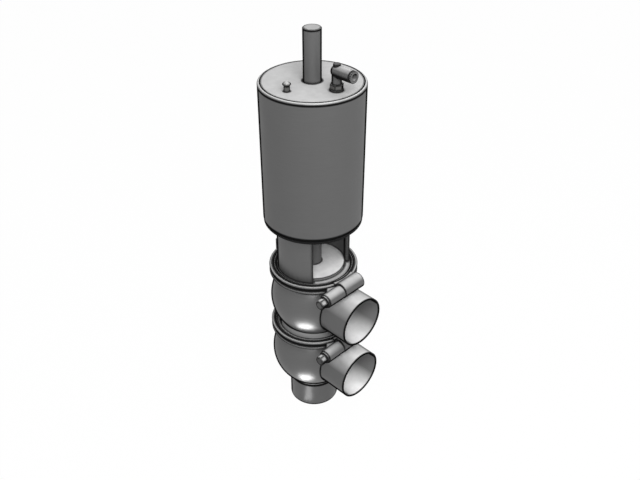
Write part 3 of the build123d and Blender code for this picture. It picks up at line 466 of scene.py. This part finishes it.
def moulded(name, tone, roughness=0.42, scale=900.0, depth=0.3, edge=0.95, reach=0.001, crevice_shade=0.5, top_light=0.3,
            outline_width=0.4, inner_painted_tone=None, centre=(0, 0, 0), across=(0, 1, 1)):
    """Moulded plastic or rubber with a fine grain, dark edges, a thin shine, painted shade in its corners and a
    little painted light on faces that look up.
    """
    material, tree, place, where, shader = start_material(name)
    grain = use_group(tree, mottle, vector=where, scale=scale, detail=4.0)["Value"]
    hands = use_group(tree, mottle, vector=where, scale=60.0, detail=4.0)["Value"]
    edges = use_group(tree, edge_lines, reach=reach, breaks=0.2)
    crevice_shade_mask = use_group(tree, painted_crevice_shade, reach=0.002)["Mask"]
    top_lit = use_group(tree, painted_top_light, vector=where, amount=top_light)["Mask"]
    colour = blend_colours(tree, grain, grey(0.7, tone), grey(1.0, tone))
    # Inner walls are painted paler: painted light where shade falls in the bore.
    if inner_painted_tone is not None:
        inner = use_group(tree, inner_walls, vector=place["Object"], normal=place["Normal"],
                          centre=centre, across=across)["Mask"]
        colour = blend_colours(tree, inner, colour, grey(inner_painted_tone))
    # Faces that look up are painted paler: painted light from above.
    colour = blend_colours(tree, top_lit, colour, grey(0.5))
    line = strongest(tree, edges["Mask"], without(tree, outline(tree, outline_width), top_lit))
    colour = blend_colours(tree, maths(tree, "MULTIPLY", line, edge), colour, EDGE_COLOUR)
    # Corners and joints are darkened by ambient occlusion: painted shade.
    colour = blend_colours(tree, maths(tree, "MULTIPLY", crevice_shade_mask, crevice_shade), colour, grey(0.2, tone))
    tree.links.new(colour, shader.inputs["Base Color"])
    rough = maths(tree, "ADD", roughness - 0.08, maths(tree, "MULTIPLY", hands, 0.16), clamp=True)
    tree.links.new(rough, shader.inputs["Roughness"])
    shine = maths(tree, "MULTIPLY", maths(tree, "SUBTRACT", 1.0, line, clamp=True), 0.3)
    tree.links.new(shine, shader.inputs["Coat Weight"])
    shader.inputs["Coat Roughness"].default_value = 0.25
    shader.inputs["Specular IOR Level"].default_value = 0.0
    bump = add(tree, "ShaderNodeBump", {
        "Strength": depth, "Distance": 0.00003, "Height": grain, "Normal": edges["Normal"],
    })
    tree.links.new(bump.outputs[0], shader.inputs["Normal"])
    return material


# Materials by the record's slots. A ring line has its direction, its place and its width.
materials = {
    "body_steel": metal(
        "Polished ball steel", tone=0.13, roughness=0.34, lines=1500.0, depth=0.15, contrast=0.04, smudge=0.05,
        top_light=0.6, matt=0.35, outline_width=0.23, outline_axis=None, painted_neck_tone=0.3,
        rings=[(UP, bottom_tube_high.z + foot_joint_rise, 0.002)],
    ),
    "tube_steel": metal(
        "Upright satin tube", tone=0.125, roughness=0.36, lines=2200.0, depth=0.3, inner_painted_tone=0.2,
        outline_width=0.3, rings=[(UP, 0.0, 0.002)],
    ),
    "lantern_steel": metal(
        "Brushed lantern steel", tone=0.135, roughness=0.42, lines=2600.0, inner_painted_tone=0.13, reach=0.004,
        rings=[(FROM_AXIS, flange_gap_r, 0.0012)],
    ),
    "machined_steel": metal("Turned steel", tone=0.3, roughness=0.4, lines=2600.0, top_light_tone=0.8),
    "rod_steel": metal(
        "Ground rod steel", tone=0.13, roughness=0.42, lines=3600.0, depth=0.2, contrast=0.06, matt=0.6,
        outline_width=0.5, top_light_tone=0.48, reach=0.003, rings=[(UP, rod_high.z - rod_edge_drop, 0.001)],
    ),
    "clamp_steel": metal(
        "Cast clamp steel", tone=0.13, roughness=0.42, lines=900.0, depth=0.5, contrast=0.08, cast=True,
        crevice_shade=0.98, crevice_shade_reach=0.004, outline_width=0.5, outline_axis=(0, 1, 0), top_light_tone=0.56,
        ring_r=clamp_ring_r,
        rings=[(FROM_AXIS, clamp_step_r, 0.0013), (UP, lower_clamp_z, 0.0022), (UP, upper_clamp_z, 0.0022)],
    ),
    "bolt_steel": metal(
        "Bolt steel", tone=0.1, roughness=0.34, lines=1400.0, cast=True, crevice_shade=0.9, outline_width=0.5,
        outline_axis=(0, 1, 0), top_light_tone=0.9, matt=0.8, reach=0.003,
    ),
    "shell_steel": metal(
        "Brushed shell steel", tone=0.126, roughness=0.46, lines=2200.0, smudge=0.05, edge=0.0,
        crevice_shade=0.95, outline_width=0.22, top_light_tone=0.66,
        rings=[(UP, shell_high.z - rim_roll, 0.0014), (UP, shell_low.z, 0.0022)],
    ),
    "cover_steel": metal(
        "Turned cover steel", tone=0.17, roughness=0.45, lines=1500.0, depth=0.5, contrast=0.06, smudge=0.04,
        top_light_tone=0.51, reach=0.0028, crevice_shade=0.9, rings=[(FROM_AXIS, cover_high.x - rim_seam_in, 0.0013)],
    ),
    "base_steel": metal(
        "Turned base steel", tone=0.03, roughness=0.45, lines=1800.0, depth=0.5, top_light=0.4, crevice_shade=0.9,
    ),
    "spring_steel": metal(
        "Oiled spring steel", tone=0.09, roughness=0.35, lines=700.0, depth=0.3, cast=True, top_light=0.3,
    ),
    "piston_aluminium": metal("Turned aluminium", tone=0.5, roughness=0.38, lines=2000.0, top_light=0.2),
    "black_rubber": moulded("Black seal rubber", (0.012, 0.012, 0.012), roughness=0.55, top_light=0.1),
    "white_plastic": moulded("White seal plastic", (0.75, 0.74, 0.72), roughness=0.45, top_light=0.0),
    "bush_plastic": moulded("Bush plastic", (0.32, 0.29, 0.22), roughness=0.45),
    "nickel_brass": metal(
        "Nickel plated brass", tone=0.14, roughness=0.34, tint=(1.0, 0.99, 0.97), lines=1600.0, depth=0.25,
        crevice_shade=0.98, outline_width=0.6, top_light=0.85, top_light_tone=0.7, reach=0.0018,
    ),
    "fitting_grey": moulded(
        "Grey fitting plastic", (0.11, 0.11, 0.11), top_light=1.0, crevice_shade=0.9, outline_width=0.6, reach=0.0014,
    ),
    "fitting_black": moulded(
        "Black fitting plastic", (0.012, 0.012, 0.012), top_light=0.5, crevice_shade=0.9, outline_width=0.6, reach=0.0014,
    ),
}


def side_tube_metal(name, centre, top_light_tone, mouth_x):
    """Satin tube that lies along X, with a dark ring at its sawn mouth."""
    return metal(
        name, tone=0.125, roughness=0.36, lines=2200.0, depth=0.3, top_light_tone=top_light_tone, inner_painted_tone=0.2,
        centre=centre, turn=TURN_TO_X, across=(0, 1, 1), outline_width=0.3, outline_axis=ALONG_PORTS,
        ends=ALONG_PORTS, rings=[(ALONG_PORTS, mouth_x, 0.0016)],
    )


# Nodes with a finish of their own within their slot
own_finishes = {
    "upper_port_tube": side_tube_metal("Upper side tube satin", upper_port, 0.66, upper_tube_high.x),
    # The lower tube's painted top light is paler than the upper's, against the shade that the upper tube and
    # its lug throw on it.
    "lower_port_tube": side_tube_metal("Lower side tube satin", lower_port, 0.8, lower_tube_high.x),
    "stem": metal(
        "Ground stem steel", tone=0.13, roughness=0.42, lines=3600.0, depth=0.2, contrast=0.06, matt=0.6,
        outline_width=0.05,
    ),
    "fitting_collet": moulded(
        "Release collet plastic", (0.15, 0.15, 0.15), top_light=0.6, crevice_shade=0.5, outline_width=0.5, reach=0.0006,
        inner_painted_tone=0.16, centre=elbow_bore,
    ),
}
weld_steel = metal("Brushed weld bead", tone=0.02, roughness=0.4, lines=900.0, depth=0.5, cast=True, top_light=0.3)

for part in frame["record"]["subparts"]:
    shown = nodes[part["node"]]
    shown.data.materials.clear()
    shown.data.materials.append(own_finishes.get(part["node"], materials[part["material_slot"]]))


# Pieces that repeat or follow a path
def new_geometry_tree(name, inputs):
    """Geometry tree with named inputs; returns it and its two ends."""
    tree = bpy.data.node_groups.new(name, "GeometryNodeTree")
    tree.interface.new_socket("Geometry", in_out="INPUT", socket_type="NodeSocketGeometry")
    for label, kind, value in inputs:
        tree.interface.new_socket(label, in_out="INPUT", socket_type=kind).default_value = value
    tree.interface.new_socket("Geometry", in_out="OUTPUT", socket_type="NodeSocketGeometry")
    return tree, tree.nodes.new("NodeGroupInput"), tree.nodes.new("NodeGroupOutput")


def close_tree(tree, end, geometry, material):
    """Ends a tree in real, smooth faces with their material."""
    smooth = add(tree, "GeometryNodeSetShadeSmooth", {0: geometry})
    real = add(tree, "GeometryNodeRealizeInstances", {0: smooth.outputs[0]})
    painted = add(tree, "GeometryNodeSetMaterial", {0: real.outputs[0], 2: material})
    tree.links.new(painted.outputs[0], end.inputs[0])


def make_bead_tree():
    """Rippled weld bead along a circle."""
    tree, start, end = new_geometry_tree("Weld bead", [
        ("Circle radius", FLOAT, tube_r), ("Bead radius", FLOAT, 0.0006),
        ("Ripple length", FLOAT, 0.0012), ("Ripple share", FLOAT, 0.12),
    ])
    path = add(tree, "GeometryNodeCurvePrimitiveCircle", {
        "Resolution": 480, "Radius": start.outputs["Circle radius"],
    })
    along = add(tree, "GeometryNodeSplineParameter")
    turns = maths(tree, "DIVIDE", along.outputs["Length"], start.outputs["Ripple length"])
    wave = maths(tree, "SINE", maths(tree, "MULTIPLY", turns, 2 * math.pi))
    share = maths(tree, "ADD", 1.0, maths(tree, "MULTIPLY", wave, start.outputs["Ripple share"]))
    section = add(tree, "GeometryNodeCurvePrimitiveCircle", {
        "Resolution": 10, "Radius": start.outputs["Bead radius"],
    })
    bead = add(tree, "GeometryNodeCurveToMesh", {0: path.outputs[0], 1: section.outputs[0], "Scale": share})
    close_tree(tree, end, bead.outputs[0], weld_steel)
    return tree


def make_rib_tree():
    """Small ribs set round a circle."""
    tree, start, end = new_geometry_tree("Ring of ribs", [
        ("Circle radius", FLOAT, 0.005), ("Ribs", "NodeSocketInt", 16),
        ("Rib size", VECTOR, (0.0003, 0.0006, 0.001)),
    ])
    points = add(tree, "GeometryNodeCurvePrimitiveCircle", {
        "Resolution": start.outputs["Ribs"], "Radius": start.outputs["Circle radius"],
    })
    rib = add(tree, "GeometryNodeMeshCube", {"Size": start.outputs["Rib size"]})
    position = add(tree, "GeometryNodeInputPosition")
    outward = add(tree, "FunctionNodeAlignRotationToVector", {"Vector": position.outputs[0]}, axis="X")
    ribs = add(tree, "GeometryNodeInstanceOnPoints", {
        0: points.outputs[0], "Instance": rib.outputs[0], "Rotation": outward.outputs[0],
    })
    real = add(tree, "GeometryNodeRealizeInstances", {0: ribs.outputs[0]})
    painted = add(tree, "GeometryNodeSetMaterial", {0: real.outputs[0], 2: materials["fitting_grey"]})
    tree.links.new(painted.outputs[0], end.inputs[0])
    return tree


bead_tree = make_bead_tree()
rib_tree = make_rib_tree()


def grow(name, tree, centre, turn, body, slot, **inputs):
    """Plain mesh from a geometry tree, set in place and carried by a body."""
    seed = bpy.data.objects.new(name + "_seed", bpy.data.meshes.new(name + "_seed"))
    bpy.context.scene.collection.objects.link(seed)
    modifier = seed.modifiers.new("Tree", "NODES")
    modifier.node_group = tree
    for item in tree.interface.items_tree:
        key = item.name.replace(" ", "_").lower()
        if item.item_type == "SOCKET" and item.in_out == "INPUT" and key in inputs:
            modifier[item.identifier] = inputs[key]
    bpy.context.view_layer.update()
    grown = seed.evaluated_get(bpy.context.evaluated_depsgraph_get())
    mesh = bpy.data.meshes.new_from_object(grown)
    bpy.data.objects.remove(seed)
    piece = bpy.data.objects.new(name, mesh)
    bpy.context.scene.collection.objects.link(piece)
    piece.rotation_euler = turn
    piece.location = centre
    bpy.context.view_layer.update()
    mesh.transform(piece.matrix_world)
    piece.rotation_euler = (0, 0, 0)
    piece.location = (0, 0, 0)
    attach(piece, body)
    return piece


grow("upper_port_weld", bead_tree, (weld_x, 0, upper_port_z), TURN_TO_X, "root", "tube_steel",
     circle_radius=tube_r)
grow("lower_port_weld", bead_tree, (weld_x, 0, lower_port_z), TURN_TO_X, "root", "tube_steel",
     circle_radius=tube_r)
grow("bottom_port_weld", bead_tree, (0, 0, bottom_tube_high.z), (0, 0, 0), "root", "tube_steel",
     circle_radius=tube_r - foot_bead_in, bead_radius=0.0005)
grow("lantern_weld", bead_tree, (0, 0, lantern_high.z), (0, 0, 0), "root", "lantern_steel",
     circle_radius=lantern_r, bead_radius=0.0007)
grow("collet_ribs", rib_tree, (collet_high.x - rib_inset, 0, elbow_bore_z), TURN_TO_X, "collet", "fitting_grey",
     circle_radius=collet_r, ribs=18, rib_size=(0.0004, 0.0007, 0.0011))


def shorten_spring():
    """Merged, smooth copy of the spring, carried by the root body in place of the packed one."""
    merge_distance = 0.000001
    sharp_edge = math.radians(35)
    coil = bmesh.new()
    coil.from_mesh(nodes["spring"].data)
    bmesh.ops.remove_doubles(coil, verts=coil.verts, dist=merge_distance)
    mesh = bpy.data.meshes.new("closing_spring")
    coil.to_mesh(mesh)
    coil.free()
    mesh.transform(nodes["spring"].matrix_world)
    mesh.shade_smooth()
    mesh.set_sharp_from_angle(angle=sharp_edge)
    mesh.materials.append(materials["spring_steel"])
    piece = bpy.data.objects.new("closing_spring", mesh)
    bpy.context.scene.collection.objects.link(piece)
    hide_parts("spring")
    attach(piece, "root")
    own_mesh(piece)


shorten_spring()


# Floor, world, lamps and camera
def seen_directly(tree):
    """Whether the background is looked at, also in the shine of metal or through glass."""
    rays = add(tree, "ShaderNodeLightPath")
    seen = maths(tree, "MAXIMUM", rays.outputs["Is Camera Ray"], rays.outputs["Is Glossy Ray"])
    return maths(tree, "MAXIMUM", seen, rays.outputs["Is Transmission Ray"])


def make_floor():
    """Plain white floor that keeps a faint shadow."""
    half = 6.0
    drop = -0.0002
    shine_share = 0.98
    corners = [(-half, -half, drop), (half, -half, drop), (half, half, drop), (-half, half, drop)]
    mesh = bpy.data.meshes.new("floor")
    mesh.from_pydata(corners, [], [(0, 1, 2, 3)])
    floor = bpy.data.objects.new("floor", mesh)
    bpy.context.scene.collection.objects.link(floor)
    material = bpy.data.materials.new("White floor")
    material.use_nodes = True
    tree = material.node_tree
    tree.nodes.clear()
    paper = add(tree, "ShaderNodeBsdfDiffuse", {"Color": grey(0.86)})
    bright = add(tree, "ShaderNodeEmission", {"Color": grey(1.0), "Strength": 1.0})
    share = maths(tree, "MULTIPLY", seen_directly(tree), shine_share)
    mixed = add(tree, "ShaderNodeMixShader", {0: share, 1: paper.outputs[0], 2: bright.outputs[0]})
    output = add(tree, "ShaderNodeOutputMaterial")
    tree.links.new(mixed.outputs[0], output.inputs[0])
    mesh.materials.append(material)


def make_world():
    """White surroundings to look at and in reflections, dimmer as a light."""
    light_strength = 0.35
    seen_strength = 1.0
    world = bpy.data.worlds.new("Studio")
    world.use_nodes = True
    tree = world.node_tree
    tree.nodes.clear()
    strength = remap(tree, seen_directly(tree), 0.0, 1.0, light_strength, seen_strength)
    light = add(tree, "ShaderNodeBackground", {"Color": grey(1.0), "Strength": strength})
    output = add(tree, "ShaderNodeOutputWorld")
    tree.links.new(light.outputs[0], output.inputs[0])
    bpy.context.scene.world = world


def add_lamp(name, place, turn, width, depth, radiance):
    """Soft rectangular lamp; its light leaves along its own -Z."""
    data = bpy.data.lights.new(name, "AREA")
    data.shape = "RECTANGLE"
    data.size = width
    data.size_y = depth
    data.energy = radiance * width * depth * math.pi
    lamp = bpy.data.objects.new(name, data)
    bpy.context.scene.collection.objects.link(lamp)
    lamp.location = place
    lamp.rotation_mode = "QUATERNION"
    lamp.rotation_quaternion = turn
    lamp.visible_camera = False
    return lamp


def add_aimed_lamp(name, place, target, size, radiance):
    """Square lamp that points at a target."""
    turn = (Vector(target) - Vector(place)).to_track_quat("-Z", "Y")
    add_lamp(name, place, turn, size, size, radiance)


def add_card(name, place, heading, width, depth, radiance, shown):
    """Bright card on the floor that is seen only in the shine of one node."""
    turn = Euler((math.pi, 0, math.radians(heading))).to_quaternion()
    card = add_lamp(name, place, turn, width, depth, radiance)
    card.visible_diffuse = False
    receivers = bpy.data.collections.new(name)
    receivers.objects.link(nodes[shown])
    card.light_linking.receiver_collection = receivers


def make_camera():
    """Camera at the photograph's view."""
    pitch = 35.049
    turn = 44.79
    data = bpy.data.cameras.new("camera")
    data.sensor_width = 36.0
    data.lens = 42.729
    camera = bpy.data.objects.new("camera", data)
    bpy.context.scene.collection.objects.link(camera)
    camera.location = (0.42573, -0.41969, 0.61920)
    camera.rotation_euler = (math.radians(90 - pitch), 0, math.radians(turn))
    bpy.context.scene.camera = camera


make_floor()
make_world()
add_aimed_lamp("overhead lamp", place=(0.384, 0.384, 1.54), target=(0, 0, 0.2), size=1.2, radiance=1.5)
add_aimed_lamp("window side lamp", place=(0.842, -0.527, 1.19), target=(0.03, 0, 0.15), size=0.9, radiance=7.5)
add_card("upper ball card", place=(0.031, -0.084, 0.0005), heading=0, width=0.070, depth=0.056,
         radiance=19.0, shown="upper_body")
add_card("lower ball card", place=(0.0265, -0.0556, 0.0005), heading=0, width=0.034, depth=0.026,
         radiance=19.0, shown="lower_body")
add_card("foot card", place=(0.0205, -0.043, 0.0005), heading=19, width=0.014, depth=0.034,
         radiance=4.0, shown="bottom_port_tube")
make_camera()
bpy.context.scene.view_settings.view_transform = "Standard"
